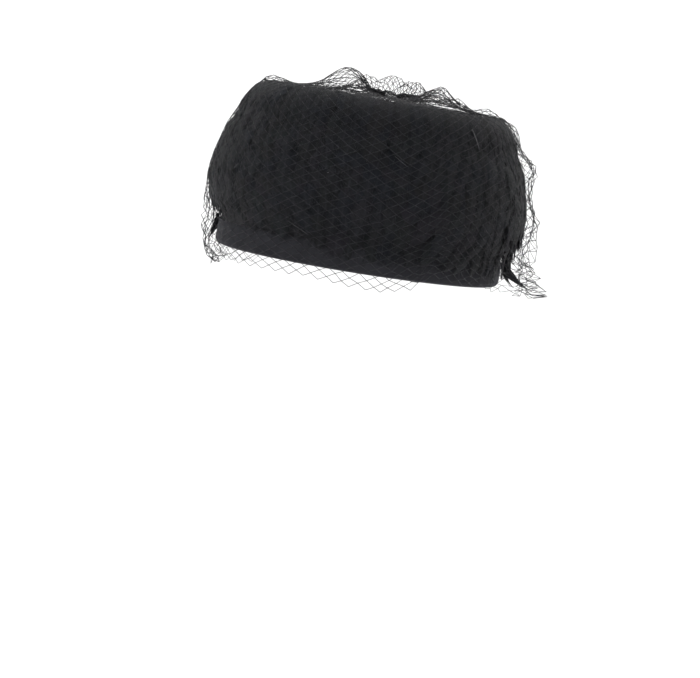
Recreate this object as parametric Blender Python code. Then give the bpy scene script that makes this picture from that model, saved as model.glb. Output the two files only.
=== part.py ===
"""A tall pillbox hat covered in rows of small black feathers, under a net veil.

The origin is the centre of the head opening, in the plane of the rim. +Z runs up through the crown,
-Y is the front and +X is the wearer's left. Lengths are in metres. Angles are in degrees round the
hat, from 0 at the front through 90 at the wearer's left.
"""

import math
from collections import namedtuple

import bmesh
import bpy
from mathutils import Vector

# Head opening, height and outline
HEAD_HALF_WIDTH = 0.080
HEAD_HALF_LENGTH = 0.096
HAT_HEIGHT = 0.102
SWELL = 0.0102  # how far the feathers stand out past the band where the hat is fullest
DRAW_IN = 0.0178  # how far the edge of the flat top lies inside the band

# Cloths, and the gap between pieces that touch
FELT = 0.0022
BAND_CLOTH = 0.0016
TIP_CLOTH = 0.0016
SEAM_GAP = 0.0003

# Band round the rim
BAND_HEIGHT = 0.015
BAND_RETURN = 0.008  # how far the band runs up inside the hat
BAND_EDGE_RADIUS = 0.003

# Cloth tip on the top
TIP_EDGE_DROP = 0.0055  # how far its edge comes down over the corner
TIP_LAP = 0.0018  # how far that edge laps over the first row of feathers

# Feathers
FEATHER_ROWS = 5
FEATHERS_ROUND = 32
FEATHER_LENGTH = 0.022
FEATHER_POINT = 0.006  # how far a tip reaches below the notch beside it
FEATHER_STRAY = 0.0016  # how much shorter than the longest some feathers are
FEATHER_VANE = 0.0010
QUILL_RISE = 0.0004
LAYER_GAP = 0.0006
BAND_LAP = 0.002  # how far the lowest tips hang over the band

# Single feathers that stand out under the lowest row
SIDE_FEATHER_LENGTH = 0.024
SIDE_FEATHER_WIDTH = 0.0056
SIDE_FEATHER_SPLAY = 0.017
SIDE_FEATHER_VANE = 0.0008
SIDE_FEATHER_TUCK = 0.004  # how far the base reaches above the lowest tips

# Net veil
NET_STRAND = 0.0010
NET_COLUMNS = 13
VEIL_EASE = 0.0027  # from the feathers to the middle of a strand where the net lies close
VEIL_SLACK = 0.029  # how far the net stands off where it is loosest
HEM_DROP = 0.014  # how far the hem hangs below the rim where it is deepest
PUFF_HEIGHT = 0.017
PUFF_SPREAD = 0.018
GATHER_RADIUS = 0.007
GATHER_RIGHT = 0.008  # from the middle of the top to the gather, towards the wearer's left
GATHER_BACK = 0.009

# How finely round pieces and puffs are cut into flat faces
RING_COLUMNS = 48
PUFF_STEP = 0.007  # longer stretches of strand on the top are cut in two

# The feathered side in section, from the lowest tips to the flat top. rise is a share of its height,
# swell of SWELL, draw_in of DRAW_IN, and pad of what the feathers add to the crown's own thickness.
Section = namedtuple("Section", "rise swell draw_in pad")
SIDE_SECTION = (
    Section(0.000, 0.28, 0.00, 1.00),
    Section(0.079, 0.40, 0.00, 1.00),
    Section(0.180, 0.76, 0.00, 1.00),
    Section(0.315, 1.00, 0.00, 1.00),
    Section(0.449, 0.87, 0.00, 1.00),
    Section(0.562, 0.61, 0.00, 1.00),
    Section(0.663, 0.34, 0.00, 1.00),
    Section(0.768, 0.00, 0.07, 1.00),
    Section(0.865, 0.00, 0.28, 1.00),
    Section(0.933, 0.00, 0.50, 0.88),
    Section(0.969, 0.00, 0.70, 0.56),
    Section(0.992, 0.00, 0.84, 0.15),
    Section(1.000, 0.00, 1.00, 0.00),
)

# Single feathers: length and width are shares of the longest and widest, splay of the widest splay.
SideFeather = namedtuple("SideFeather", "angle length width splay")
SIDE_FEATHERS = (
    SideFeather(114, 1.00, 1.00, 1.00),
    SideFeather(122, 0.82, 0.55, 0.55),
    SideFeather(-60, 0.55, 1.00, 0.08),
    SideFeather(-70, 0.62, 0.90, 0.14),
)

# The veil round the hat. high, middle, low and hem are its stand-off, as shares of VEIL_SLACK, at the
# shoulder, the fullest height, the band and the hem. drop is a share of HEM_DROP, below the rim.
Hang = namedtuple("Hang", "angle high middle low hem drop")
VEIL_HANG = (
    Hang(-90, 0.10, 0.12, 0.15, 0.05, 0.45),
    Hang(-62, 0.03, 0.04, 0.12, 0.02, 0.80),
    Hang(-45, 0.00, 0.02, 0.08, -0.10, 1.00),
    Hang(-25, 0.00, 0.02, 0.06, 0.00, 0.90),
    Hang(0, 0.00, 0.02, 0.05, 0.00, 0.55),
    Hang(38, 0.00, 0.02, 0.05, 0.00, 0.80),
    Hang(66, 0.03, 0.03, 0.03, 0.00, -0.15),
    Hang(88, 0.15, 0.15, 0.20, 0.20, -0.20),
    Hang(100, 0.30, 0.28, 0.42, 0.50, 0.10),
    Hang(113, 0.36, 0.40, 0.75, 1.00, 0.60),
    Hang(130, 0.34, 0.36, 0.55, 0.60, 0.20),
    Hang(160, 0.24, 0.26, 0.30, 0.32, -0.10),
    Hang(200, 0.24, 0.24, 0.28, 0.26, 0.05),
    Hang(235, 0.16, 0.18, 0.22, 0.18, 0.15),
)

# Where the net passes on its way from the gather to the hem. top is a share of the way from the gather
# to the edge of the top, side of the way down the feathers and hang of the way from them to the hem.
Course = namedtuple("Course", "top side hang")
VEIL_COURSE = (
    Course(0.00, 0.00, 0.00),
    Course(0.17, 0.00, 0.00),
    Course(0.36, 0.00, 0.00),
    Course(0.56, 0.00, 0.00),
    Course(0.80, 0.00, 0.00),
    Course(1.00, 0.08, 0.00),
    Course(1.00, 0.26, 0.00),
    Course(1.00, 0.50, 0.00),
    Course(1.00, 0.76, 0.00),
    Course(1.00, 1.00, 0.05),
    Course(1.00, 1.00, 1.00),
)

# Puffs of net on the top. right and back are shares of the head opening's half width and half length,
# rise of PUFF_HEIGHT and spread of PUFF_SPREAD.
Puff = namedtuple("Puff", "right back rise spread")
PUFFS = (
    Puff(-0.27, 0.01, 1.00, 1.00),
    Puff(-0.04, 0.32, 0.85, 0.90),
    Puff(0.44, 0.34, 0.75, 0.85),
    Puff(0.78, 0.42, 0.25, 0.70),
    Puff(-0.66, -0.26, 0.18, 0.80),
    Puff(0.14, 0.70, 0.55, 1.20),
    Puff(-0.52, 0.50, 0.45, 1.20),
)

BAND_FACE = BAND_CLOTH + SEAM_GAP + FELT + SEAM_GAP + BAND_CLOTH
RIM_FACE = BAND_FACE - BAND_CLOTH - SEAM_GAP
RIM_FOOT = BAND_CLOTH + SEAM_GAP
FEATHER_FOOT = BAND_HEIGHT - BAND_LAP
SIDE_HEIGHT = HAT_HEIGHT - FEATHER_FOOT
FEATHER_TOP = HAT_HEIGHT - TIP_EDGE_DROP + TIP_LAP
ROW_PITCH = (FEATHER_TOP - FEATHER_LENGTH - FEATHER_FOOT) / (FEATHER_ROWS - 1)
FEATHER_DEPTH = FEATHER_VANE + QUILL_RISE
FEATHER_LEAN = (FEATHER_DEPTH + LAYER_GAP) / ROW_PITCH
FEATHER_PAD = LAYER_GAP + FEATHER_LEAN * FEATHER_LENGTH + FEATHER_DEPTH
TIP_SEAT = TIP_CLOTH + SEAM_GAP


def along(values, share):
    """The value of a smooth curve through equally spaced values, at a share of its length."""
    place = min(max(share, 0.0), 1.0) * (len(values) - 1)
    start = min(int(place), len(values) - 2)
    t = place - start
    a, b, c, d = (values[min(max(start + k, 0), len(values) - 1)] for k in (-1, 0, 1, 2))
    return b + 0.5 * t * (c - a + t * (2 * a - 5 * b + 4 * c - d + t * (3 * (b - c) + d - a)))


def oval(angle, offset, height):
    """A point at an offset outside the head opening's oval."""
    turn = math.radians(angle)
    across = math.sin(turn)
    ahead = -math.cos(turn)
    outward = Vector((across / HEAD_HALF_WIDTH, ahead / HEAD_HALF_LENGTH, 0)).normalized()
    edge = Vector((HEAD_HALF_WIDTH * across, HEAD_HALF_LENGTH * ahead, height))
    return edge + offset * outward


def outline(share):
    """(offset, height) of the hat's face in section, at a share of SIDE_SECTION."""
    swell = along([row.swell for row in SIDE_SECTION], share)
    draw_in = along([row.draw_in for row in SIDE_SECTION], share)
    rise = along([row.rise for row in SIDE_SECTION], share)
    offset = BAND_FACE + SWELL * swell - DRAW_IN * draw_in
    return Vector((offset, FEATHER_FOOT + SIDE_HEIGHT * rise))


def under(share, depth):
    """(offset, height) at a depth under the hat's face."""
    step = 0.25 / len(SIDE_SECTION)
    run = outline(min(share + step, 1.0)) - outline(max(share - step, 0.0))
    outward = Vector((run.y, -run.x)).normalized()
    return outline(share) - depth * outward


def share_at(height):
    """The share of SIDE_SECTION at which the hat's face reaches a height."""
    low = 0.0
    high = 1.0
    for _ in range(24):
        middle = (low + high) / 2
        if outline(middle).y < height:
            low = middle
        else:
            high = middle
    return low


def crown_depth(share):
    """How deep under the hat's face the crown's felt lies."""
    pad = along([row.pad for row in SIDE_SECTION], share)
    return TIP_SEAT + (FEATHER_PAD - TIP_SEAT) * pad


def steps_round(count):
    """Equal steps of angle round the hat, in radians."""
    return [2 * math.pi * i / count for i in range(count)]


def ring(offset, height):
    """The points of a level loop round the hat."""
    return [oval(math.degrees(turn), offset, height) for turn in steps_round(RING_COLUMNS)]


def start_loop(bm, points):
    """Starts a mesh with one closed loop of vertices at the points."""
    verts = bmesh.ops.create_circle(bm, segments=len(points), radius=1)["verts"]
    for vert, point in zip(verts, points):
        vert.co = point
    return verts


def loop_edges(bm, loop):
    return [bm.edges.get((a, b)) for a, b in zip(loop, loop[1:] + loop[:1])]


def extrude_loop(bm, loop, points):
    """Extrudes a closed loop and moves the new vertices to the points."""
    made = bmesh.ops.extrude_edge_only(bm, edges=loop_edges(bm, loop))["geom"]
    new = {item for item in made if isinstance(item, bmesh.types.BMVert)}
    follow = []
    for vert, point in zip(loop, points):
        neighbours = (edge.other_vert(vert) for edge in vert.link_edges)
        follower = next(other for other in neighbours if other in new)
        follower.co = point
        follow.append(follower)
    return follow


def material(name, colour, roughness, sheen):
    """A cloth or feather material, with its base colour in linear RGB."""
    made = bpy.data.materials.new(name)
    made.use_nodes = True
    shader = made.node_tree.nodes["Principled BSDF"]
    shader.inputs["Base Color"].default_value = (*colour, 1)
    shader.inputs["Roughness"].default_value = roughness
    shader.inputs["Metallic"].default_value = 0
    shader.inputs["Sheen Weight"].default_value = sheen
    return made


def finish(name, bm, finish_of, sharp=50):
    """Makes an object from the mesh, facing out and shaded smooth up to the sharp angle."""
    bmesh.ops.recalc_face_normals(bm, faces=bm.faces)
    mesh = bpy.data.meshes.new(name)
    bm.to_mesh(mesh)
    bm.free()
    mesh.shade_smooth()
    mesh.set_sharp_from_angle(angle=math.radians(sharp))
    mesh.materials.append(finish_of)
    made = bpy.data.objects.new(name, mesh)
    bpy.context.scene.collection.objects.link(made)
    return made


def turned(name, loops, finish_of, capped):
    """A body whose loops follow each other, capped at both ends or joined end to start."""
    bm = bmesh.new()
    first = start_loop(bm, loops[0])
    last = first
    for points in loops[1:]:
        last = extrude_loop(bm, last, points)
    if capped:
        bmesh.ops.contextual_create(bm, geom=loop_edges(bm, first))
        bmesh.ops.contextual_create(bm, geom=loop_edges(bm, last))
    else:
        closing = extrude_loop(bm, last, [vert.co for vert in first])
        bmesh.ops.weld_verts(bm, targetmap=dict(zip(closing, first)))
    return finish(name, bm, finish_of)


def crown(felt):
    """The hollow foundation: from the middle of the top outside, round the rim, to the middle inside."""
    shoulder = share_at(BAND_HEIGHT + 2 * FELT)
    faces = 8
    shares = [1 - (1 - shoulder) * i / faces for i in range(faces + 1)]
    outside = [under(share, crown_depth(share)) for share in shares]
    outside += [Vector((RIM_FACE, BAND_HEIGHT + SEAM_GAP)), Vector((RIM_FACE, RIM_FOOT))]
    inside = [Vector((RIM_FACE - FELT, RIM_FOOT)), Vector((RIM_FACE - FELT, BAND_HEIGHT))]
    inside += [under(share, crown_depth(share) + FELT) for share in shares[::-1]]
    inside[-1].y = outside[0].y - FELT
    return turned("crown", [ring(*point) for point in outside + inside], felt, capped=True)


def crown_tip(cloth):
    """The cloth disc on the top, whose edge comes down over the corner and the first feathers."""
    edge = share_at(HAT_HEIGHT - TIP_EDGE_DROP)
    shares = [1 - (1 - edge) * i / 3 for i in range(4)]
    outside = [outline(share) for share in shares]
    inside = [under(share, TIP_CLOTH) for share in shares[::-1]]
    inside[-1].y = HAT_HEIGHT - TIP_CLOTH
    return turned("crown_tip", [ring(*point) for point in outside + inside], cloth, capped=True)


def head_band(cloth):
    """The band: down the outside, round under the rim and up the inside, as one folded strip."""
    bend = [math.radians(45 * i) for i in range(3)]
    radius = BAND_EDGE_RADIUS
    outer = [Vector((BAND_FACE, BAND_HEIGHT))]
    outer += [
        Vector((BAND_FACE - radius + radius * math.cos(a), radius - radius * math.sin(a))) for a in bend
    ]
    outer += [
        Vector((radius - radius * math.cos(a), radius - radius * math.sin(a))) for a in bend[::-1]
    ]
    outer += [Vector((0, BAND_RETURN))]
    inner = [
        Vector((BAND_CLOTH, BAND_RETURN)),
        Vector((BAND_CLOTH, BAND_CLOTH)),
        Vector((BAND_FACE - BAND_CLOTH, BAND_CLOTH)),
        Vector((BAND_FACE - BAND_CLOTH, BAND_HEIGHT)),
    ]
    return turned("head_band", [ring(*point) for point in outer + inner], cloth, capped=False)


def feather_row(number, vane):
    """One row of feathers fused side by side, with a column of points on each quill and in each notch."""
    columns = 2 * FEATHERS_ROUND
    top = FEATHER_TOP - (number - 1) * ROW_PITCH
    levels = (0.0, 0.5, 1.0)
    outer = [[] for _ in levels]
    inner = [[] for _ in levels]
    for column in range(columns):
        on_quill = (column + number) % 2
        stray = FEATHER_STRAY * math.sin(2.4 * column + number) ** 2
        length = FEATHER_LENGTH - stray - FEATHER_POINT * (1 - on_quill)
        for level, share_of_length in enumerate(levels):
            down = share_of_length * length
            share = share_at(top - down)
            back = crown_depth(share) - LAYER_GAP - FEATHER_LEAN * down
            front = back - FEATHER_VANE - QUILL_RISE * on_quill * min(2 * share_of_length, 1)
            inner[level].append(oval(360 * column / columns, *under(share, back)))
            outer[level].append(oval(360 * column / columns, *under(share, front)))
    return turned(f"feather_row_{number}", outer + inner[::-1], vane, capped=False)


def side_feather(number, row, vane):
    """A single feather tucked behind the lowest tips, bowed out and drawn to a point."""
    length = SIDE_FEATHER_LENGTH * row.length
    reach = SIDE_FEATHER_SPLAY * row.splay
    fall = math.sqrt(length**2 - reach**2)
    tucked = SIDE_FEATHER_TUCK / fall
    outward = (oval(row.angle, 1, 0) - oval(row.angle, 0, 0)).normalized()
    aside = outward.cross(Vector((0, 0, 1)))
    sections = 7
    loops = []
    for i in range(sections):
        share = i / (sections - 1)
        half_width = SIDE_FEATHER_WIDTH * row.width * (0.28 + 0.22 * math.sin(math.pi * share))
        half_width *= 1 - 0.93 * share**2
        splay = reach * (max(share - tucked, 0) / (1 - tucked)) ** 1.6
        height = FEATHER_FOOT + SIDE_FEATHER_TUCK - fall * share
        middle = oval(row.angle, BAND_FACE + SEAM_GAP + splay, height)
        edge = outward * 0.35 * SIDE_FEATHER_VANE
        quill = middle + outward * SIDE_FEATHER_VANE
        loops.append([middle - aside * half_width + edge, middle, middle + aside * half_width + edge, quill])
    return turned(f"side_feather_{number}", loops, vane, capped=True)


def hang_at(angle):
    """The veil's hang at an angle, smoothly between the rows of VEIL_HANG."""
    first = VEIL_HANG[0]
    turn = (angle - first.angle) % 360 + first.angle
    after = next((row for row in VEIL_HANG if row.angle > turn), first._replace(angle=first.angle + 360))
    before = [row for row in VEIL_HANG if row.angle <= turn][-1]
    share = (turn - before.angle) / (after.angle - before.angle)
    share = share * share * (3 - 2 * share)
    return Hang(*(a + (b - a) * share for a, b in zip(before, after)))


def veil_point(angle, way):
    """A point of the unpuffed veil, at a share of its way from the gather to the hem."""
    hang = hang_at(angle)
    top, side, drop = (min(max(along(column, way), 0.0), 1.0) for column in zip(*VEIL_COURSE))
    slack = VEIL_SLACK * along((0, hang.high, hang.middle, hang.low, hang.hem), (3 * side + drop) / 4)
    offset, height = under(1 - side, -VEIL_EASE - slack)
    hem = -HEM_DROP * hang.drop
    edge = oval(angle, offset, height + (hem - height) * drop)
    turn = math.radians(angle)
    around = GATHER_RADIUS * Vector((math.sin(turn), -math.cos(turn), 0))
    gather = Vector((GATHER_RIGHT, GATHER_BACK, edge.z)) + around
    return gather.lerp(edge, top)


def puffed(point):
    """A point of the veil with the puffs' lift, and drawn down to the top beside the gather."""
    lift = 0.0
    for puff in PUFFS:
        right = point.x - puff.right * HEAD_HALF_WIDTH
        back = point.y - puff.back * HEAD_HALF_LENGTH
        away = math.hypot(right, back) / (PUFF_SPREAD * puff.spread)
        lift = max(lift, PUFF_HEIGHT * puff.rise * math.exp(-away * away))
    past_gather = math.hypot(point.x - GATHER_RIGHT, point.y - GATHER_BACK) - GATHER_RADIUS
    drawn = math.exp(-((max(past_gather, 0) / (2 * GATHER_RADIUS)) ** 2))
    sink = veil_point(0, 0).z - HAT_HEIGHT - SEAM_GAP - NET_STRAND / 2
    return point + Vector((0, 0, lift * (1 - drawn) - sink * drawn))


def veil(net):
    """The net as open diamonds: a tube whose faces are poked and whose own edges are dissolved."""
    rows = (len(VEIL_COURSE) - 1) // 2
    bm = bmesh.new()
    circle = [Vector((math.sin(turn), -math.cos(turn), 0)) for turn in steps_round(NET_COLUMNS)]
    loop = start_loop(bm, circle)
    for row in range(1, rows + 1):
        loop = extrude_loop(bm, loop, [point + Vector((0, 0, row / rows)) for point in circle])
    own_edges = set(bm.edges)
    bmesh.ops.poke(bm, faces=bm.faces)
    inner_edges = [edge for edge in own_edges if len(edge.link_faces) == 2]
    bmesh.ops.dissolve_edges(bm, edges=inner_edges)
    for vert in bm.verts:
        vert.co = veil_point(math.degrees(math.atan2(vert.co.x, -vert.co.y)), vert.co.z)
    bmesh.ops.recalc_face_normals(bm, faces=bm.faces)
    bmesh.ops.wireframe(
        bm, faces=bm.faces, thickness=NET_STRAND, use_replace=True, use_boundary=True, use_even_offset=True
    )
    on_top = [edge for edge in bm.edges if min(vert.co.z for vert in edge.verts) > HAT_HEIGHT]
    long_edges = [edge for edge in on_top if edge.calc_length() > PUFF_STEP]
    bmesh.ops.subdivide_edges(bm, edges=long_edges, cuts=1)
    for vert in bm.verts:
        vert.co = puffed(vert.co)
    return finish("veil", bm, net, sharp=30)


def build():
    for leftover in list(bpy.data.objects):
        bpy.data.objects.remove(leftover)
    felt = material("black wool felt", (0.012, 0.012, 0.013), 0.95, 0.3)
    velvet = material("black velvet", (0.010, 0.010, 0.012), 0.90, 0.8)
    vane = material("black dyed feather", (0.008, 0.009, 0.012), 0.55, 0.4)
    net = material("black veiling net", (0.010, 0.010, 0.010), 0.70, 0.0)
    crown(felt)
    crown_tip(velvet)
    head_band(velvet)
    for number in range(1, FEATHER_ROWS + 1):
        feather_row(number, vane)
    for number, row in enumerate(SIDE_FEATHERS, 1):
        side_feather(number, row, vane)
    veil(net)


build()
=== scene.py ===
# %% [markdown]
# # A feathered pillbox hat under a net veil
# The real hat is a tall felt pillbox. Its sides are covered in rows of small black feathers, a band
# covers the rim, and a net veil is drawn over the whole. The solid model gives the sizes and the places
# of the pieces. This lesson dresses it: every feather, every thread of the net and every cloth.

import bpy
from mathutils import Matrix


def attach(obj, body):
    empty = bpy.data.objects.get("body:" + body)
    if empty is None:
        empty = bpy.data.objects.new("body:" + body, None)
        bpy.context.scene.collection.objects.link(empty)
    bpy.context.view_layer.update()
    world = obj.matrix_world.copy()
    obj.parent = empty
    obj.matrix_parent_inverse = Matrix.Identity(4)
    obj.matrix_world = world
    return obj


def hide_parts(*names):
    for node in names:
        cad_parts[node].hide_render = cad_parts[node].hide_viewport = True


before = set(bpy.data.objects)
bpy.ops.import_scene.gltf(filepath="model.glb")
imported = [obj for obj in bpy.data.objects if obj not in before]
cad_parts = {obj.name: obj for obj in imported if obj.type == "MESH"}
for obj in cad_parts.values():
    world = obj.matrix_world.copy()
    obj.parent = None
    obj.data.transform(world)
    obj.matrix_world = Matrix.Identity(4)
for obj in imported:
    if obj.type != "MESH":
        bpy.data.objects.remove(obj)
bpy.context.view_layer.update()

# %% [markdown]
# ## Sizes of the hat
# The origin is the centre of the head opening. +Z runs up, -Y is the front and +X the wearer's left.
# Lengths are in metres and angles in degrees round the hat, from 0 at the front. These are the solid
# model's own sizes, so that feathers and net lie where its solids are.

# %% Sizes of the hat
import math
import random
from collections import namedtuple

import bmesh
import bpy
from mathutils import Matrix, Vector, noise

HEAD_HALF_WIDTH = 0.080
HEAD_HALF_LENGTH = 0.096
HAT_HEIGHT = 0.102
SWELL = 0.0102
DRAW_IN = 0.0178
BAND_FACE = 0.006
FEATHER_FOOT = 0.013
SIDE_HEIGHT = HAT_HEIGHT - FEATHER_FOOT
TIP_SEAT = 0.0019
TIP_EDGE_DROP = 0.0055
FEATHER_PAD = 0.00478

Section = namedtuple("Section", "rise swell draw_in pad")
SIDE_SECTION = (
    Section(0.000, 0.28, 0.00, 1.00),
    Section(0.079, 0.40, 0.00, 1.00),
    Section(0.180, 0.76, 0.00, 1.00),
    Section(0.315, 1.00, 0.00, 1.00),
    Section(0.449, 0.87, 0.00, 1.00),
    Section(0.562, 0.61, 0.00, 1.00),
    Section(0.663, 0.34, 0.00, 1.00),
    Section(0.768, 0.00, 0.07, 1.00),
    Section(0.865, 0.00, 0.28, 1.00),
    Section(0.933, 0.00, 0.50, 0.88),
    Section(0.969, 0.00, 0.70, 0.56),
    Section(0.992, 0.00, 0.84, 0.15),
    Section(1.000, 0.00, 1.00, 0.00),
)

# %% [markdown]
# ## The face of the hat
# Feathers and net follow the same curved face, so it is worth having as functions. `oval` gives a point
# at an offset outside the head opening, and `outline` the hat's section. The face is read once into a
# table by the length of the path down it, because a feather keeps its length when it lies on a curve.

# %% The face of the hat


def along(values, share):
    """The value of a smooth curve through equally spaced values, at a share of its length."""
    place = min(max(share, 0.0), 1.0) * (len(values) - 1)
    start = min(int(place), len(values) - 2)
    t = place - start
    a, b, c, d = (values[min(max(start + k, 0), len(values) - 1)] for k in (-1, 0, 1, 2))
    return b + 0.5 * t * (c - a + t * (2 * a - 5 * b + 4 * c - d + t * (3 * (b - c) + d - a)))


def oval(angle, offset, height):
    """A point at an offset outside the head opening's oval."""
    turn = math.radians(angle)
    across = math.sin(turn)
    ahead = -math.cos(turn)
    outward = Vector((across / HEAD_HALF_WIDTH, ahead / HEAD_HALF_LENGTH, 0)).normalized()
    edge = Vector((HEAD_HALF_WIDTH * across, HEAD_HALF_LENGTH * ahead, height))
    return edge + offset * outward


def outline(share):
    """(offset, height) of the hat's face in section, at a share of SIDE_SECTION."""
    swell = along([row.swell for row in SIDE_SECTION], share)
    draw_in = along([row.draw_in for row in SIDE_SECTION], share)
    rise = along([row.rise for row in SIDE_SECTION], share)
    offset = BAND_FACE + SWELL * swell - DRAW_IN * draw_in
    return Vector((offset, FEATHER_FOOT + SIDE_HEIGHT * rise))


def outward_at(share):
    """The direction straight out of the face in section."""
    step = 0.25 / len(SIDE_SECTION)
    run = outline(min(share + step, 1.0)) - outline(max(share - step, 0.0))
    return Vector((run.y, -run.x)).normalized()


def crown_depth(share):
    """How deep under the hat's face the felt lies."""
    return TIP_SEAT + (FEATHER_PAD - TIP_SEAT) * along([row.pad for row in SIDE_SECTION], share)


FACE_STEPS = 240
FacePoint = namedtuple("FacePoint", "path point outward depth")
face = []
for i in range(FACE_STEPS + 1):
    share = 1 - i / FACE_STEPS
    point = outline(share)
    path = face[-1].path + (point - face[-1].point).length if face else 0.0
    face.append(FacePoint(path, point, outward_at(share), crown_depth(share)))
FACE_LENGTH = face[-1].path
TIP_EDGE = next(row.path for row in face if row.point.y < HAT_HEIGHT - TIP_EDGE_DROP)
print(f"the face is {FACE_LENGTH * 1000:.1f} mm long, the tip's edge lies {TIP_EDGE * 1000:.1f} mm down it")


def face_at(path):
    """(point, outward, depth) of the face at a path length down from the flat top, straight past its end."""
    place = min(max(path, 0.0), FACE_LENGTH)
    low = 0
    high = len(face) - 1
    while high - low > 1:
        middle = (low + high) // 2
        if face[middle].path <= place:
            low = middle
        else:
            high = middle
    before = face[low]
    after = face[high]
    t = (place - before.path) / max(after.path - before.path, 1e-9)
    beyond = max(path - FACE_LENGTH, 0.0)
    past = Vector((-min(0.5 * beyond, 0.0021), -beyond))
    point = before.point.lerp(after.point, t) + past
    return point, before.outward.lerp(after.outward, t), before.depth + (after.depth - before.depth) * t


def round_speed(angle):
    """Metres round the opening for each degree."""
    turn = math.radians(angle)
    across = HEAD_HALF_WIDTH * math.cos(turn)
    ahead = HEAD_HALF_LENGTH * math.sin(turn)
    return (math.hypot(across, ahead) + BAND_FACE) * math.pi / 180


# %% [markdown]
# ## Helpers for materials and meshes
# Colours are written as the hex values that a screen shows, and one function turns them to the linear
# numbers that a shader needs. Another adds a node with its settings and links. Round pieces are made by
# extruding one closed loop of edges again and again, the way that a knitter works in the round.

# %% Helpers for materials and meshes


def linear(hex_colour):
    """The linear RGBA of an sRGB hex colour."""
    values = [int(hex_colour[i : i + 2], 16) / 255 for i in (1, 3, 5)]
    return (*[v / 12.92 if v <= 0.04045 else ((v + 0.055) / 1.055) ** 2.4 for v in values], 1.0)


def add(material, kind, settings=(), links=()):
    """Adds a node. settings are (name, value) of properties or inputs, links are (input, output socket)."""
    node = material.node_tree.nodes.new(kind)
    for name, value in settings:
        if isinstance(name, str) and hasattr(node, name):
            setattr(node, name, value)
        else:
            node.inputs[name].default_value = value
    for name, source in links:
        material.node_tree.links.new(source, node.inputs[name])
    return node


def new_material(name, **values):
    """A material with a Principled shader, whose inputs are set by name with _ for a space."""
    made = bpy.data.materials.new(name)
    made.use_nodes = True
    shader = made.node_tree.nodes["Principled BSDF"]
    shader.inputs["Metallic"].default_value = 0.0
    for key, value in values.items():
        shader.inputs[key.replace("_", " ")].default_value = value
    return made, shader


def start_loop(bm, points):
    """Starts a mesh with one closed loop of vertices at the points."""
    verts = bmesh.ops.create_circle(bm, segments=len(points), radius=1)["verts"]
    for vert, point in zip(verts, points):
        vert.co = point
    return verts


def loop_edges(bm, loop):
    return [bm.edges.get((a, b)) for a, b in zip(loop, loop[1:] + loop[:1])]


def extrude_loop(bm, loop, points):
    """Extrudes a closed loop and moves the new vertices to the points."""
    made = bmesh.ops.extrude_edge_only(bm, edges=loop_edges(bm, loop))["geom"]
    new = {item for item in made if isinstance(item, bmesh.types.BMVert)}
    follow = []
    for vert, point in zip(loop, points):
        neighbours = (edge.other_vert(vert) for edge in vert.link_edges)
        follower = next(other for other in neighbours if other in new)
        follower.co = point
        follow.append(follower)
    return follow


def finish_piece(name, bm, material, nodes, smooth=60):
    """Makes an object of the mesh, with its material, and hides the solid nodes that it stands for."""
    mesh = bpy.data.meshes.new(name)
    bm.to_mesh(mesh)
    bm.free()
    mesh.shade_smooth()
    mesh.set_sharp_from_angle(angle=math.radians(smooth))
    mesh.materials.append(material)
    made = bpy.data.objects.new(name, mesh)
    bpy.context.scene.collection.objects.link(made)
    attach(made, "root")
    if nodes:
        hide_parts(*nodes)
    print(f"{name}: {len(mesh.polygons)} faces")
    return made


# %% [markdown]
# ## Black wool felt
# The foundation is blocked wool felt: fibres pressed flat, with no thread to see. It shows only from
# below, inside the hat. Felt gives the eye a dead matt grey-black with a faint fuzz at the edge, which is
# what sheen does. The fibres are about 0.3 mm across in clumps, drawn at 1.2 mm so that they show.

# %% Black wool felt
MM = 1000.0  # Object coordinates are in metres, and a texture's scale counts features for each metre

felt, shader = new_material(
    "black wool felt", Roughness=0.95, Specular_IOR_Level=0.15, Sheen_Weight=0.06, Sheen_Roughness=0.6)
place = add(felt, "ShaderNodeTexCoord")
fibre = add(felt, "ShaderNodeTexNoise", [("Scale", MM / 1.2), ("Detail", 5.0), ("Roughness", 0.7)],
            [("Vector", place.outputs["Object"])])
patch = add(felt, "ShaderNodeTexNoise", [("Scale", MM / 24), ("Detail", 3.0)],
            [("Vector", place.outputs["Object"])])
tone = add(felt, "ShaderNodeMix", [("data_type", "RGBA"), (6, linear("#161618")), (7, linear("#262629"))],
           [(0, patch.outputs["Fac"])])
felt.node_tree.links.new(tone.outputs[2], shader.inputs["Base Color"])
bump = add(felt, "ShaderNodeBump", [("Strength", 0.6), ("Distance", 0.0004)], [("Height", fibre.outputs["Fac"])])
felt.node_tree.links.new(bump.outputs["Normal"], shader.inputs["Normal"])

# %% [markdown]
# ## Black velvet
# The band and the flat tip are short-pile velvet. Its pile stands on end, so it is darkest seen straight
# on and lights up at a grazing angle: that is why the top shows as a thin grey line from the front. A
# sheen layer does the same. The pile leans a little this way and that, which a soft noise in the bump
# gives, and the pile itself is drawn at 0.7 mm, coarser than the real 0.3 mm, so that it shows.

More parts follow.
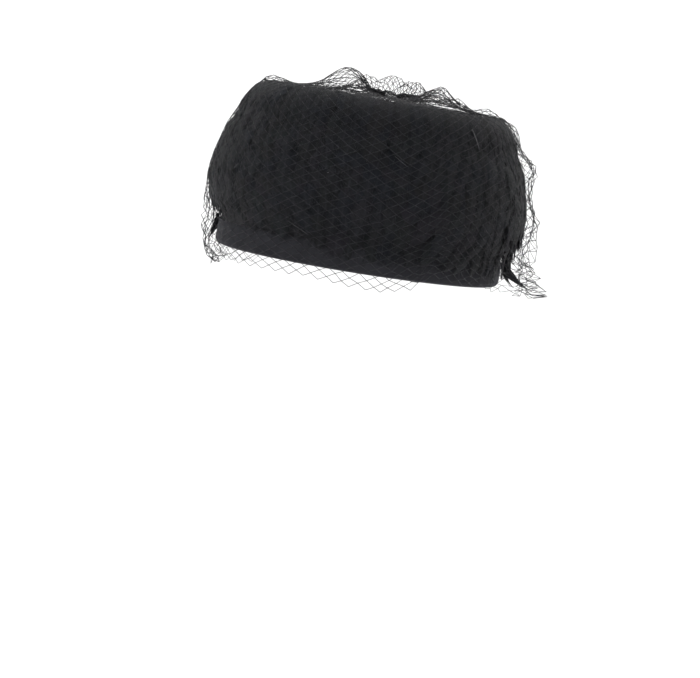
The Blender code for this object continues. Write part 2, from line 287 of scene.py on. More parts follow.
# %% Black velvet
velvet, shader = new_material(
    "black velvet", Roughness=0.85, Specular_IOR_Level=0.12, Sheen_Weight=0.10, Sheen_Roughness=0.35,
    Sheen_Tint=linear("#c9c9d2"))
place = add(velvet, "ShaderNodeTexCoord")
pile = add(velvet, "ShaderNodeTexNoise", [("Scale", MM / 0.7), ("Detail", 2.0)],
           [("Vector", place.outputs["Object"])])
lean = add(velvet, "ShaderNodeTexNoise", [("Scale", MM / 14), ("Detail", 3.0)],
           [("Vector", place.outputs["Object"])])
tone = add(velvet, "ShaderNodeMix", [("data_type", "RGBA"), (6, linear("#111114")), (7, linear("#242428"))],
           [(0, lean.outputs["Fac"])])
velvet.node_tree.links.new(tone.outputs[2], shader.inputs["Base Color"])
lie = add(velvet, "ShaderNodeBump", [("Strength", 0.5), ("Distance", 0.0012)], [("Height", lean.outputs["Fac"])])
bump = add(velvet, "ShaderNodeBump", [("Strength", 0.7), ("Distance", 0.0002)],
           [("Height", pile.outputs["Fac"]), ("Normal", lie.outputs["Normal"])])
velvet.node_tree.links.new(bump.outputs["Normal"], shader.inputs["Normal"])

# %% [markdown]
# ## Dyed feather
# A dyed feather is a flat web of barbs that run out from the quill at a slant. Black dye leaves the
# barbs a soft gloss along their length and a breath of blue, green or purple, stronger on some feathers
# than on others. The barbs are drawn from the feather's own UV map: V runs down the quill in shares of
# its length and U across it. Each feather carries a number, `tone`, that picks its shade.

# %% Dyed feather
BARBS_ON_FEATHER = 46  # real barbs are about 0.25 mm apart, and these 0.5 mm, so that they show

feather, shader = new_material(
    "black dyed feather", Roughness=0.55, Specular_IOR_Level=0.10, Sheen_Weight=0.02, Sheen_Roughness=0.5)
web = add(feather, "ShaderNodeUVMap", [("uv_map", "vane")])
split = add(feather, "ShaderNodeSeparateXYZ", [], [(0, web.outputs["UV"])])
out = add(feather, "ShaderNodeMath", [("operation", "SUBTRACT"), (1, 0.5)], [(0, split.outputs["X"])])
away = add(feather, "ShaderNodeMath", [("operation", "ABSOLUTE")], [(0, out.outputs[0])])
slant = add(feather, "ShaderNodeMath", [("operation", "MULTIPLY_ADD"), (1, -0.55)],
            [(0, away.outputs[0]), (2, split.outputs["Y"])])
place = add(feather, "ShaderNodeTexCoord")
ruffle = add(feather, "ShaderNodeTexNoise", [("Scale", MM / 5), ("Detail", 3.0)],
             [("Vector", place.outputs["Object"])])
wander = add(feather, "ShaderNodeMath", [("operation", "MULTIPLY_ADD"), (1, 0.10)],
             [(0, ruffle.outputs["Fac"]), (2, slant.outputs[0])])
line = add(feather, "ShaderNodeMath", [("operation", "MULTIPLY"), (1, 2 * math.pi * BARBS_ON_FEATHER)],
           [(0, wander.outputs[0])])
barb = add(feather, "ShaderNodeMath", [("operation", "SINE")], [(0, line.outputs[0])])
shade = add(feather, "ShaderNodeAttribute", [("attribute_name", "tone")])
dye = add(feather, "ShaderNodeValToRGB", [], [("Fac", shade.outputs["Fac"])])
dye.color_ramp.elements[0].color = linear("#08080a")
dye.color_ramp.elements[1].color = linear("#121215")
for share, colour in ((0.30, "#090c12"), (0.50, "#0b0b0d"), (0.66, "#0a0e10"), (0.82, "#0f0d13")):
    dye.color_ramp.elements.new(share).color = linear(colour)
quill = add(feather, "ShaderNodeMapRange", [("From Min", 0.0), ("From Max", 0.05), ("To Min", 1.0), ("To Max", 0.0)],
            [("Value", away.outputs[0])])
ribbed = add(feather, "ShaderNodeMix", [("data_type", "RGBA"), (7, linear("#17171b"))],
             [(0, quill.outputs["Result"]), (6, dye.outputs["Color"])])
feather.node_tree.links.new(ribbed.outputs[2], shader.inputs["Base Color"])
bump = add(feather, "ShaderNodeBump", [("Strength", 0.55), ("Distance", 0.0002)], [("Height", barb.outputs[0])])
puff = add(feather, "ShaderNodeBump", [("Strength", 0.5), ("Distance", 0.0009)],
           [("Height", ruffle.outputs["Fac"]), ("Normal", bump.outputs["Normal"])])
feather.node_tree.links.new(puff.outputs["Normal"], shader.inputs["Normal"])

# %% [markdown]
# ## Veiling thread
# Hat net is rayon thread, stiffened with size, which dries to a dull gloss. Against the pale room its
# threads look black, and on the hat they catch just enough light to show as fine grey lines. The twist
# of the thread is 0.5 mm long and is left to a fine noise.

# %% Veiling thread
thread, shader = new_material("stiffened rayon thread", Roughness=0.45, Specular_IOR_Level=0.16)
place = add(thread, "ShaderNodeTexCoord")
twist = add(thread, "ShaderNodeTexNoise", [("Scale", MM / 0.8), ("Detail", 2.0)],
            [("Vector", place.outputs["Object"])])
tone = add(thread, "ShaderNodeMix", [("data_type", "RGBA"), (6, linear("#111113")), (7, linear("#202023"))],
           [(0, twist.outputs["Fac"])])
thread.node_tree.links.new(tone.outputs[2], shader.inputs["Base Color"])
bump = add(thread, "ShaderNodeBump", [("Strength", 0.4), ("Distance", 0.0001)], [("Height", twist.outputs["Fac"])])
thread.node_tree.links.new(bump.outputs["Normal"], shader.inputs["Normal"])

# %% [markdown]
# ## Felt crown, velvet tip and velvet band
# These three solids have the right shape already, so they stay and only change their cloth.

# %% Felt crown, velvet tip and velvet band
for node, cloth in (("crown", felt), ("crown_tip", velvet), ("head_band", velvet)):
    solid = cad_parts[node]
    solid.data.materials.clear()
    solid.data.materials.append(cloth)
    print(node, "wears", cloth.name)

# %% [markdown]
# ## One feather
# A feather is made once as a pattern and then copied hundreds of times, so it may have only a few dozen
# faces. It is a flat tube of six points a section: two edges, two points half way out, the quill and a
# point under it. The vane starts narrow, is widest past the middle and ends in a ragged tip, and each
# pattern's edge is notched in its own way where barbs have parted. A few loose barbs stick out past the
# edge, which is what makes real feathers look soft.

# %% One feather
SECTIONS = 7
PATTERNS = 7
LOOSE_BARBS = 5
VANE_THICKNESS = 0.00018
CAMBER = 0.00035  # how far the edges curl back below the quill

dice = random.Random(11)


def tube_of_loops(bm, loops):
    """A closed tube through loops of points, and all of its vertices."""
    first = start_loop(bm, loops[0])
    verts = list(first)
    last = first
    for points in loops[1:]:
        last = extrude_loop(bm, last, points)
        verts += last
    for loop in (first, last):
        bmesh.ops.contextual_create(bm, geom=loop_edges(bm, loop))
    return verts


def loose_barb(bm):
    """A thin barb that has come away from the vane's edge."""
    side = dice.choice((-1, 1))
    start = Vector((side * dice.uniform(0.3, 0.8), dice.uniform(0.55, 0.95), 0.0001))
    run = Vector((side * dice.uniform(0.25, 0.7), dice.uniform(0.10, 0.24), dice.uniform(0.0, 0.0007)))
    loops = []
    for share, thick in ((0.0, 1.0), (0.5, 0.8), (1.0, 0.25)):
        middle = start + run * share - Vector((side * 0.12 * share * share, 0, 0))
        loops.append([middle + Vector((0.035 * thick * x, 0.004 * thick * x, 0.00012 * thick * z))
                      for x, z in ((-1, -1), (1, -1), (0, 1))])
    return tube_of_loops(bm, loops)


def feather_pattern(bm, uv_layer, pointed, barbs=LOOSE_BARBS):
    """Adds one feather: x across in half widths, y along from 0 to 1, z out in metres."""
    loops = []
    for i in range(SECTIONS):
        share = i / (SECTIONS - 1)
        wide = math.sin(math.pi * min(share * 0.62 + 0.16, 1.0)) ** 0.8
        wide *= 1 - max(share - 0.55, 0) ** 2 * pointed
        edges = [wide * (1 - dice.uniform(0.0, 0.30) * (i % 2)) for _ in range(2)]
        lag = [dice.uniform(-0.02, 0.05) for _ in range(2)]
        curl = -CAMBER * wide
        loops.append(
            [
                Vector((-edges[0], share - lag[0] - 0.05 * wide, curl)),
                Vector((-0.5 * edges[0], share - 0.02 * wide, 0.35 * curl + VANE_THICKNESS)),
                Vector((0, share, 2.0 * VANE_THICKNESS * (1 - 0.7 * share))),
                Vector((0.5 * edges[1], share - 0.02 * wide, 0.35 * curl + VANE_THICKNESS)),
                Vector((edges[1], share - lag[1] - 0.05 * wide, curl)),
                Vector((0, share, -VANE_THICKNESS)),
            ]
        )
    verts = tube_of_loops(bm, loops)
    for _ in range(barbs):
        verts += loose_barb(bm)
    faces = list({one for vert in verts for one in vert.link_faces})
    for one in faces:
        for corner in one.loops:
            corner[uv_layer].uv = (0.5 + 0.5 * corner.vert.co.x, corner.vert.co.y)
    return verts + list({edge for vert in verts for edge in vert.link_edges}) + faces


# %% [markdown]
# ## Laying feathers on the face
# A feather is laid from its base, near the felt, to the outer face, so that each row lifts the one above
# it, and its tip is pressed down again on the feathers under it. Its length is measured along the path
# down the face, its width round the hat, and it is turned a little to one side.

# %% Laying feathers on the face
TIP_PRESS = 0.0007

Lie = namedtuple("Lie", "angle path length width turn base_lift tip_lift flare tone")


def on_face(lie, x, y, z):
    """The place of a pattern's point once the feather lies on the hat."""
    run = y * lie.length
    side = x * lie.width / 2
    turn = math.radians(lie.turn)
    down = run * math.cos(turn) - side * math.sin(turn)
    across = run * math.sin(turn) + side * math.cos(turn)
    base = lie.base_lift - face_at(lie.path)[2]
    point, outward, _ = face_at(lie.path + down)
    rise = 1 - (1 - min(max(y, 0.0) / 0.85, 1.0)) ** 3
    stand = base + (lie.tip_lift - base) * rise - TIP_PRESS * max(y / 0.35 - 1.86, 0.0) ** 2 + z
    stand += lie.flare * max(y, 0.0) ** 4
    spot = point + outward * stand
    return oval(lie.angle + across / round_speed(lie.angle), spot.x, spot.y)


def feather_piece(name, lies, nodes, pointed):
    """One mesh of many feathers, copied from a few patterns and bent onto the face."""
    bm = bmesh.new()
    uv_layer = bm.loops.layers.uv.new("vane")
    tone_layer = bm.verts.layers.float.new("tone")
    patterns = [feather_pattern(bm, uv_layer, pointed) for _ in range(PATTERNS)]
    for i, lie in enumerate(lies):
        made = bmesh.ops.duplicate(bm, geom=patterns[i * 5 % PATTERNS])["geom"]
        for vert in (item for item in made if isinstance(item, bmesh.types.BMVert)):
            vert.co = on_face(lie, *vert.co)
            vert[tone_layer] = lie.tone
    bmesh.ops.delete(bm, geom=[v for one in patterns for v in one if isinstance(v, bmesh.types.BMVert)], context="VERTS")
    bmesh.ops.recalc_face_normals(bm, faces=bm.faces)
    return finish_piece(name, bm, feather, nodes, smooth=50)


# %% [markdown]
# ## Rows of feathers
# The solid model has five rows. Each gets three layers here: one whose tips lie where the solid row's
# do, and two above it that fill the gaps. The first row has more, whose bases lie over the tip's edge,
# so that the feathers reach the top. Every feather is a little out of place, as when they are glued on
# by hand, and all lean towards one spot at the front, the way that they were stroked.

# %% Rows of feathers
ROWS = 5
LAYERS = 3
ROW_PITCH = 0.01583
FIRST_TIPS = 0.0230  # path from the tip's edge to the first row's tips
ROUND_COUNT = 64
ROW_WIDTH = 0.0125
ROW_LENGTH = 0.0260
STROKED_TO = 21  # the angle that the feathers lean towards
STROKE_LEAN = 24
LOW_FLARE = 0.0045  # how far the lowest tips stand off at the wearer's left
TOP_BASE = 0.0006  # path from the top's edge to the bases that lie over it


def low_tips(angle):
    """How much further the last row's tips reach, where they cover the band."""
    away = abs((angle - 72 + 180) % 360 - 180)
    return 0.0012 + 0.0085 * max(1 - (away / 92) ** 2, 0.0)


for row in range(ROWS):
    lies = []
    layers = [(ROW_PITCH * (row - (LAYERS - 1 - layer) / LAYERS), False) for layer in range(LAYERS)]
    if row == 0:
        layers += [(-0.0115, True), (-0.0040, True)]
    for number, (tips, over_edge) in enumerate(layers):
        for i in range(ROUND_COUNT):
            angle = 360 * (i + 0.37 * number + 0.25 * (row % 2)) / ROUND_COUNT + dice.uniform(-1.2, 1.2)
            end = TIP_EDGE + FIRST_TIPS + tips + dice.uniform(-0.0026, 0.0020)
            if row == ROWS - 1:
                end += low_tips(angle) * (number + 1) / LAYERS
            lean = -STROKE_LEAN * math.sin(math.radians(angle - STROKED_TO))
            width = ROW_WIDTH * dice.uniform(0.8, 1.2)
            tip = dice.uniform(-0.0003, 0.0003)
            if over_edge:
                start = TOP_BASE + dice.uniform(0.0, 0.0012)
                base = TIP_SEAT + dice.uniform(0.0002, 0.0005)
                tip += 0.0005
            else:
                start = max(end - ROW_LENGTH * dice.uniform(0.92, 1.08), TIP_EDGE - 0.0008)
                base = 0.0001 + (0.00015 if i % 2 else 0.0)
            if dice.random() < 0.04:
                tip += dice.uniform(0.0003, 0.0010)
            flare = LOW_FLARE * math.exp(-(((angle - 108) / 34) ** 2)) if row == ROWS - 1 else 0.0
            lies.append(Lie(angle, start, end - start, width, lean + dice.uniform(-12, 12), base, tip, flare,
                            dice.random()))
    feather_piece(f"feathers_row_{row + 1}", lies, [f"feather_row_{row + 1}"], 3.2)

# %% [markdown]
# ## Side plumes
# Under the bulge a few longer feathers stand out: long and pointed at the wearer's left, short at the
# right. Each takes the place of one solid feather, tucked behind the lowest tips, bowed out and drawn
# to a point.

# %% Side plumes
PLUME_LENGTH = 0.024
PLUME_WIDTH = 0.0056
PLUME_SPLAY = 0.017
PLUME_TUCK = 0.004

Plume = namedtuple("Plume", "angle length width splay twist")
PLUMES = (
    Plume(114, 0.90, 1.10, 0.90, 62),
    Plume(122, 0.82, 0.55, 0.55, 50),
    Plume(-58, 0.52, 0.60, 0.06, -40),
    Plume(-68, 0.66, 0.75, 0.17, -55),
)


def plume(number, row):
    """A single feather bowed out from under the lowest tips, and turned on its quill."""
    bm = bmesh.new()
    uv_layer = bm.loops.layers.uv.new("vane")
    tone_layer = bm.verts.layers.float.new("tone")
    feather_pattern(bm, uv_layer, 4.4, barbs=0)
    length = PLUME_LENGTH * row.length
    reach = PLUME_SPLAY * row.splay
    fall = math.sqrt(length**2 - reach**2)
    tucked = PLUME_TUCK / fall
    outward = (oval(row.angle, 1, 0) - oval(row.angle, 0, 0)).normalized()
    aside = outward.cross(Vector((0, 0, 1)))
    turn = math.radians(row.twist)
    for vert in bm.verts:
        x, share, z = vert.co
        past = max(share - tucked, 0) / (1 - tucked)
        steep = 1.6 * reach * past**0.6 / (1 - tucked)
        out = (outward * fall + Vector((0, 0, steep))).normalized()
        across = aside * math.cos(turn) + out * math.sin(turn)
        over = out * math.cos(turn) - aside * math.sin(turn)
        offset = BAND_FACE + 0.0010 + 0.0020 * row.splay + reach * past**1.6
        middle = oval(row.angle, offset, FEATHER_FOOT + PLUME_TUCK - fall * share)
        vert.co = middle + across * x * PLUME_WIDTH * row.width * 0.5 + over * z
        vert[tone_layer] = 0.45
    tip = min(bm.verts, key=lambda vert: vert.co.z).co
    print("a plume's tip is at", [round(1000 * v, 1) for v in tip], "mm")
    bmesh.ops.recalc_face_normals(bm, faces=bm.faces)
    return finish_piece(f"plume_{number}", bm, feather, [f"side_feather_{number}"], smooth=50)


for number, row in enumerate(PLUMES, 1):
    plume(number, row)

# %% [markdown]
# ## Bare quills
# Here and there a quill has lost its barbs and shows as a pale scratch on the black. A quill is horn,
# with a dull gloss, and lighter than the dyed web. Each is a thin three-sided tube laid on the face from
# one end to the other.

# %% Bare quills
horn, shader = new_material("bare dyed quill", Roughness=0.5, Specular_IOR_Level=0.3)
place = add(horn, "ShaderNodeTexCoord")
mottle = add(horn, "ShaderNodeTexNoise", [("Scale", MM / 2.5), ("Detail", 2.0)],
             [("Vector", place.outputs["Object"])])
tone = add(horn, "ShaderNodeMix", [("data_type", "RGBA"), (6, linear("#2c2c2e")), (7, linear("#6a6a6c"))],
           [(0, mottle.outputs["Fac"])])
horn.node_tree.links.new(tone.outputs[2], shader.inputs["Base Color"])

# Millimetres for the heights of both ends and the half width.
Quill = namedtuple("Quill", "angle height end_angle end_height half_width")
QUILLS = (
    Quill(-3, 24.6, 5, 18.3, 0.30),
    Quill(66, 93.1, 68, 82.4, 0.30),
    Quill(-30, 47.7, -28, 51.3, 0.20),
    Quill(8.4, 55.3, 9.6, 56.0, 0.30),
    Quill(31, 71.0, 36, 66.0, 0.16),
    Quill(-150, 60.0, -146, 52.0, 0.20),
    Quill(172, 38.0, 175, 31.0, 0.20),
)


def path_down_to(height):
    """The path length at which the face has come down to a height in metres."""
    return next(row.path for row in face if row.point.y < height)


bm = bmesh.new()
for row in QUILLS:
    loops = []
    for share, thick in ((0.0, 0.7), (0.35, 1.0), (0.7, 0.8), (1.0, 0.3)):
        angle = row.angle + (row.end_angle - row.angle) * share
        path = path_down_to((row.height + (row.end_height - row.height) * share) / 1000)
        point, outward, _ = face_at(path)
        spot = point + outward * 0.0010
        half = thick * row.half_width / 1000
        sideways = math.copysign(half, row.height - row.end_height) / round_speed(angle)
        loops.append([oval(angle - sideways, spot.x, spot.y), oval(angle + sideways, spot.x, spot.y),
                      oval(angle, spot.x + 1.4 * half, spot.y)])
    tube_of_loops(bm, loops)
bmesh.ops.recalc_face_normals(bm, faces=bm.faces)
finish_piece("bare_quills", bm, horn, [], smooth=60)

# %% [markdown]
# ## The net veil
# Hat net is knotted or twisted into diamonds, which open wide where it is pulled sideways and close up
# where it is drawn together. This one is drawn together on the top, puffed up round the gather, close
# over the front and loose at the wearer's left and back. One tube of net makes it: each square of the
# tube is poked in four, and the squares' own edges are dissolved, which leaves diamonds. The tube is
# then laid over the hat by functions, so no cloth simulation is needed, and Blender's wireframe
# operator turns the edges to threads.

# %% How the net hangs
VEIL_EASE = 0.0014
GATHER_RADIUS = 0.0045
GATHER_RIGHT = 0.002
GATHER_BACK = 0.007

# Millimetres: how far the net stands off a third and two thirds of the way down the feathers, at their
# foot and at the hem, and how far the hem hangs below the rim.
Hang = namedtuple("Hang", "angle high middle low hem drop")
VEIL_HANG = (
    Hang(-112, 0.8, 1.2, 5.0, 3.0, 14.0),
    Hang(-90, 0.0, -1.4, 4.2, 1.0, 15.0),
    Hang(-68, 0.0, -1.4, 4.2, -3.0, 24.0),
    Hang(-52, 0.0, -1.0, 3.6, -4.0, 20.0),
    Hang(-38, 0.0, 0.3, 2.5, -2.0, 10.0),
    Hang(-25, 0.0, 0.3, 1.5, -1.0, 8.5),
    Hang(-10, 0.0, 0.3, 1.2, 0.0, 7.0),
    Hang(5, 0.0, 0.3, 1.2, 0.0, 6.0),
    Hang(21, 0.0, 0.3, 1.5, 0.5, 7.5),
    Hang(34, 0.0, 0.3, 1.5, 0.5, 8.5),
    Hang(45, 0.0, 0.5, 1.0, 0.0, 4.5),
    Hang(53, 0.3, 0.6, 1.0, 0.0, -4.5),
    Hang(72, 0.8, 0.8, 1.0, 0.0, -1.0),
    Hang(88, 3.0, 3.0, 4.0, 4.0, 2.5),
    Hang(100, 5.0, 5.0, 10.0, 12.0, 6.5),
    Hang(112, 5.5, 5.2, 15.5, 23.0, 9.0),
    Hang(126, 5.5, 5.0, 13.5, 17.0, 3.0),
    Hang(150, 5.0, 6.0, 9.0, 10.0, -2.0),
    Hang(190, 6.0, 6.0, 8.0, 8.0, 0.0),
    Hang(235, 3.0, 3.5, 6.0, 6.0, 3.0),
)

# Shares of the head opening's half width and half length, and millimetres of rise and spread.
Puff = namedtuple("Puff", "right back rise spread")
PUFFS = (
    Puff(-0.32, 0.00, 14.6, 14.0),
    Puff(-0.34, 0.42, 13.0, 13.0),
    Puff(-0.16, 0.45, 14.0, 14.0),
    Puff(0.04, 0.38, 12.5, 12.5),
    Puff(0.24, 0.34, 10.0, 12.0),
    Puff(0.43, 0.02, 11.5, 11.0),
    Puff(0.60, -0.03, 8.0, 8.0),
    Puff(0.83, 0.00, 5.0, 8.0),
    Puff(-0.83, -0.20, 3.5, 9.0),
    Puff(-0.55, 0.66, 7.0, 16.0),
    Puff(0.22, 0.74, 7.0, 14.0),
)


def hang_at(angle):
    """The veil's hang at an angle, smoothly between the rows of VEIL_HANG."""
    first = VEIL_HANG[0]
    turn = (angle - first.angle) % 360 + first.angle
    after = next((row for row in VEIL_HANG if row.angle > turn), first._replace(angle=first.angle + 360))
    before = [row for row in VEIL_HANG if row.angle <= turn][-1]
    share = (turn - before.angle) / (after.angle - before.angle)
    share = share * share * (3 - 2 * share)
    return Hang(*(a + (b - a) * share for a, b in zip(before, after)))


def puffed(point):
    """A point of the net with the puffs' lift, and drawn down to the top beside the gather."""
    lift = 0.0
    for puff in PUFFS:
        right = point.x - puff.right * HEAD_HALF_WIDTH
        back = point.y - puff.back * HEAD_HALF_LENGTH
        away = 1000 * math.hypot(right, back) / puff.spread
        lift = max(lift, puff.rise / 1000 * math.exp(-(away**1.7)))
    past_gather = math.hypot(point.x - GATHER_RIGHT, point.y - GATHER_BACK) - 0.006
    drawn = math.exp(-((max(past_gather, 0) / 0.009) ** 2))
    lift *= 1 - drawn
    crumple = noise.noise_vector(point * 110) * 0.22 * lift
    return point + crumple + Vector((0, 0, lift))


# %% [markdown]
# The net's rows are placed by how far they lie from the gather: first across the top, then down the
# feathers, then from them to the hem. Near the gather it falls into pleats. Where it is loose it sags in
# swags and crumples: the swags are a slow wave down the net and the crumple is a finer noise. Even where
# it is tight no diamond is quite like the next.

# %% Where the net's rows lie
COLUMNS = 64
TOP_ROWS = 11
SIDE_ROWS = 22
FRILL_ROWS = 3
PLEATS = 16
PLEAT_DEPTH = 0.0012
SWAG_PITCH = 0.031
SWAG_START = 0.022
FOLDS = 23
FOLD_DEPTH = 0.32
FOLD_GATHER = 2.0
CRUMPLE = 0.0030
UNEVEN = 0.0007

# At two places the hem is bunched: its columns crowd together, and it curls under and up by some millimetres.
Bunch = namedtuple("Bunch", "angle spread share crumple curl")
BUNCHES = (
    Bunch(114, 22, 0.40, 0.0, 6.0),
    Bunch(-58, 24, 0.45, 1.9, 12.0),
)


def crumpled(point, amount):
    """A point of the net after a fine crumple."""
    return point + noise.noise_vector(point * 95) * amount + noise.noise_vector(point * 240) * (0.35 * amount)


def side_point(angle, share):
    """A point of the net's hanging part, from the shoulder, at 0, to the hem, at 1."""
    hang = hang_at(angle)
    hem = -hang.drop / 1000
    start = 0.0035
    below = FEATHER_FOOT - hem
    path = start + (FACE_LENGTH - start + below) * share
    down = min(path / FACE_LENGTH, 1.0)
    drop = max(path - FACE_LENGTH, 0.0) / max(below, 1e-6)
    slack = along((0, hang.high, hang.middle, hang.low, hang.hem), (3 * down + drop) / 4) / 1000
    turn = math.radians(angle)
    drift = 0.008 * noise.noise(Vector((math.sin(turn), math.cos(turn), 0.3)) * 2.5) + 0.0002 * (angle % 360 - 112)
    swag = 0.5 + 0.5 * math.cos(2 * math.pi * (path - SWAG_START - drift) / SWAG_PITCH)
    slack *= 1 - 0.66 * swag * min(max((0.095 - path) / 0.03, 0.0), 1.0)
    loose = min(max(slack, 0.0) / 0.006, 1.0)
    slack *= 1 + FOLD_DEPTH * math.sin(FOLDS * turn + 26 * path + 2 * math.sin(3 * turn))
    angle += FOLD_GATHER * loose * math.sin(FOLDS * turn + 18 * path)
    point, outward, _ = face_at(min(path, FACE_LENGTH))
    spot = point + outward * (VEIL_EASE + slack)
    height = spot.y + (hem - spot.y) * drop
    rough = loose
    curl = 0.0
    for bunch in BUNCHES:
        away = (angle - bunch.angle + 180) % 360 - 180
        near = math.exp(-((away / bunch.spread) ** 2)) * min(drop * 1.5, 1.0)
        rough = max(rough, bunch.crumple * near)
        curl += bunch.curl / 1000 * near * max(2 * drop - 1, 0.0)
        angle -= bunch.share * near * away
    place = crumpled(oval(angle, spot.x - 0.4 * curl, height + curl), UNEVEN + CRUMPLE * rough)
    face_x = point.x + 0.0009 if path < FACE_LENGTH else -1.0
    inside = face_x - offset_of(place)
    if inside > 0:
        place += (oval(angle, 1, 0) - oval(angle, 0, 0)).normalized() * inside
    return place


def offset_of(place):
    """Roughly how far outside the head opening's oval a point lies."""
    share = math.hypot(place.x / HEAD_HALF_WIDTH, place.y / HEAD_HALF_LENGTH)
    return math.hypot(place.x, place.y) * (1 - 1 / share)


def top_point(angle, share):
    """A point of the net on the top, from the gather, at 0, to the shoulder, at 1."""
    edge = side_point(angle, 0.0)
    turn = math.radians(angle)
    around = GATHER_RADIUS * Vector((math.sin(turn), -math.cos(turn), 0))
    gather = Vector((GATHER_RIGHT, GATHER_BACK, HAT_HEIGHT + VEIL_EASE)) + around
    point = gather.lerp(edge, share)
    pleat = math.sin(PLEATS * turn + 1.7 * noise.noise(Vector((math.sin(turn), math.cos(turn), 0)) * 2))
    point.z += PLEAT_DEPTH * (0.5 + 0.5 * pleat) * math.sin(math.pi * min(share * 1.35, 1.0)) ** 1.5
    point.z += 0.0010 * (0.8 + noise.noise(point * 70)) * math.sin(math.pi * min(share + 0.1, 1.0))
    return puffed(point)


def frill_point(angle, share):
    """A point of the frill, the net's free edge beyond the gather, from the edge, at 0, to the gather."""
    turn = math.radians(angle)
    out = GATHER_RADIUS + 0.0085 * (1 - share) * (1 + 0.30 * math.sin(5 * turn + 1) + 0.22 * math.sin(11 * turn))
    rise = 0.0022 * (1 - share) * (1 + 0.6 * math.sin(7 * turn + 2)) + 0.0016 * math.sin(math.pi * share)
    middle = Vector((GATHER_RIGHT, GATHER_BACK, HAT_HEIGHT + VEIL_EASE + 0.0010))
    return middle + Vector((1.35 * out * math.sin(turn), -0.8 * out * math.cos(turn), rise))


# %% The net veil
NET_THREAD = 0.00036

bm = bmesh.new()
rows = FRILL_ROWS + TOP_ROWS + SIDE_ROWS
turns = [2 * math.pi * i / COLUMNS for i in range(COLUMNS)]
circle = [Vector((math.sin(turn), -math.cos(turn), 0)) for turn in turns]
loop = start_loop(bm, circle)
for row in range(1, rows + 1):
    loop = extrude_loop(bm, loop, [point + Vector((0, 0, row)) for point in circle])
own_edges = set(bm.edges)
bmesh.ops.poke(bm, faces=bm.faces)
bmesh.ops.dissolve_edges(bm, edges=[edge for edge in own_edges if len(edge.link_faces) == 2])
ragged = [one for one in bm.faces if len(one.verts) == 3]
bmesh.ops.delete(bm, geom=ragged, context="FACES")
for vert in bm.verts:
    angle = math.degrees(math.atan2(vert.co.x, -vert.co.y))
    row = vert.co.z
    if row < FRILL_ROWS:
        vert.co = frill_point(angle, row / FRILL_ROWS)
    elif row < FRILL_ROWS + TOP_ROWS:
        vert.co = top_point(angle, (row - FRILL_ROWS) / TOP_ROWS)
    else:
        vert.co = puffed(side_point(angle, (row - FRILL_ROWS - TOP_ROWS) / SIDE_ROWS))
bmesh.ops.recalc_face_normals(bm, faces=bm.faces)
cloth_area = sum(one.calc_area() for one in bm.faces)
print(f"the net covers {cloth_area * 1e4:.0f} square cm in {len(bm.faces)} diamonds")
bmesh.ops.wireframe(
    bm, faces=bm.faces, thickness=NET_THREAD, use_replace=True, use_boundary=True, use_even_offset=True
)
bmesh.ops.recalc_face_normals(bm, faces=bm.faces)
veil = finish_piece("net_veil", bm, thread, ["veil"], smooth=180)

# %% [markdown]

# %% [markdown]
# ## Room, light and camera
# A photographer's sweep, a pale sheet that curves up behind the hat all round, leaves no horizon. It is
# one section spun round. Two large soft lights from the front and one above give the feathers their
# faint sheen and the top its grey line, and the world is a plain white.

# %% The sweep
plain, shader = new_material("pale backdrop paper", Roughness=0.9)
shader.inputs["Base Color"].default_value = linear("#fbfbfb")
SWEEP_RADIUS = 3.4
SWEEP_BEND = 1.2
SWEEP_FLOOR = -0.75
SWEEP_HEIGHT = 3.2

bm = bmesh.new()
section = bmesh.ops.create_vert(bm, co=(0, 0, SWEEP_FLOOR))["vert"]
last = section[0]
spots = [Vector((SWEEP_RADIUS - SWEEP_BEND, 0, SWEEP_FLOOR))]
for i in range(1, 9):
    turn = math.radians(90 * i / 8)
    spots.append(Vector((SWEEP_RADIUS - SWEEP_BEND + SWEEP_BEND * math.sin(turn), 0,
                         SWEEP_FLOOR + SWEEP_BEND - SWEEP_BEND * math.cos(turn))))
spots.append(Vector((SWEEP_RADIUS, 0, SWEEP_FLOOR + SWEEP_HEIGHT)))
for spot in spots:
    new = bmesh.ops.create_vert(bm, co=spot)["vert"][0]
    bmesh.ops.contextual_create(bm, geom=[last, new])
    last = new
bmesh.ops.spin(bm, geom=list(bm.verts) + list(bm.edges), cent=(0, 0, 0), axis=(0, 0, 1), angle=2 * math.pi,
               steps=64, use_merge=True)
bmesh.ops.remove_doubles(bm, verts=bm.verts, dist=1e-5)
bmesh.ops.recalc_face_normals(bm, faces=bm.faces)
mesh = bpy.data.meshes.new("sweep")
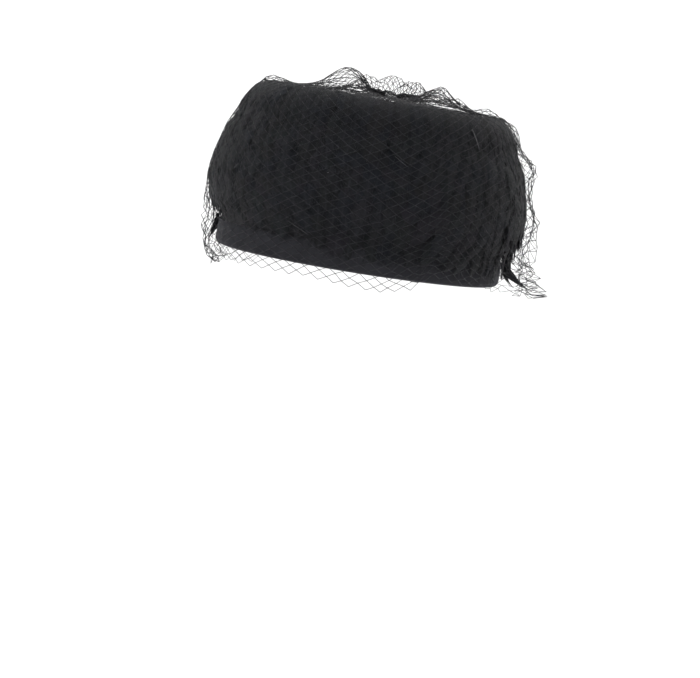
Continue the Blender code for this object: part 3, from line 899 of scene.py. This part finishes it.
bm.to_mesh(mesh)
bm.free()
mesh.shade_smooth()
mesh.materials.append(plain)
sweep = bpy.data.objects.new("sweep", mesh)
bpy.context.scene.collection.objects.link(sweep)

# %% Lights
world = bpy.data.worlds.new("white room")
world.use_nodes = True
world.node_tree.nodes["Background"].inputs["Color"].default_value = (1, 1, 1, 1)
world.node_tree.nodes["Background"].inputs["Strength"].default_value = 1.05
bpy.context.scene.world = world


def soft_light(name, azimuth, elevation, distance, size, power):
    """A square area light that faces the hat."""
    lamp = bpy.data.lights.new(name, "AREA")
    lamp.shape = "SQUARE"
    lamp.size = size
    lamp.energy = power
    a = math.radians(azimuth)
    e = math.radians(elevation)
    back = Vector((math.sin(a) * math.cos(e), -math.cos(a) * math.cos(e), math.sin(e)))
    made = bpy.data.objects.new(name, lamp)
    made.location = Vector((0, 0, 0.05)) + back * distance
    made.rotation_euler = (-back).to_track_quat("-Z", "Y").to_euler()
    bpy.context.scene.collection.objects.link(made)


soft_light("window light", -25, 30, 2.0, 1.1, 21)
soft_light("fill light", 25, 8, 2.2, 1.2, 15)
soft_light("top light", 200, 65, 1.8, 1.0, 10)

# %% The camera
AZIMUTH = 21.1
DISTANCE = 1.75
DOWN = 4.87
ROLL = 9.61
LENS = 146.2
HAT_MIDDLE = Vector((0, 0, 0.051))
AIM_RIGHT = -0.01288
AIM_UP = -0.09655

a = math.radians(AZIMUTH)
e = math.radians(DOWN)
back = Vector((math.sin(a) * math.cos(e), -math.cos(a) * math.cos(e), math.sin(e)))
turned = (-back).to_track_quat("-Z", "Y").to_matrix() @ Matrix.Rotation(math.radians(ROLL), 3, "Z")
aim = HAT_MIDDLE + turned @ Vector((AIM_RIGHT, AIM_UP, 0))
lens = bpy.data.cameras.new("camera")
lens.lens = LENS
camera = bpy.data.objects.new("camera", lens)
camera.location = aim + back * DISTANCE
camera.rotation_euler = turned.to_euler()
bpy.context.scene.collection.objects.link(camera)
bpy.context.scene.camera = camera
bpy.context.scene.view_settings.view_transform = "Standard"
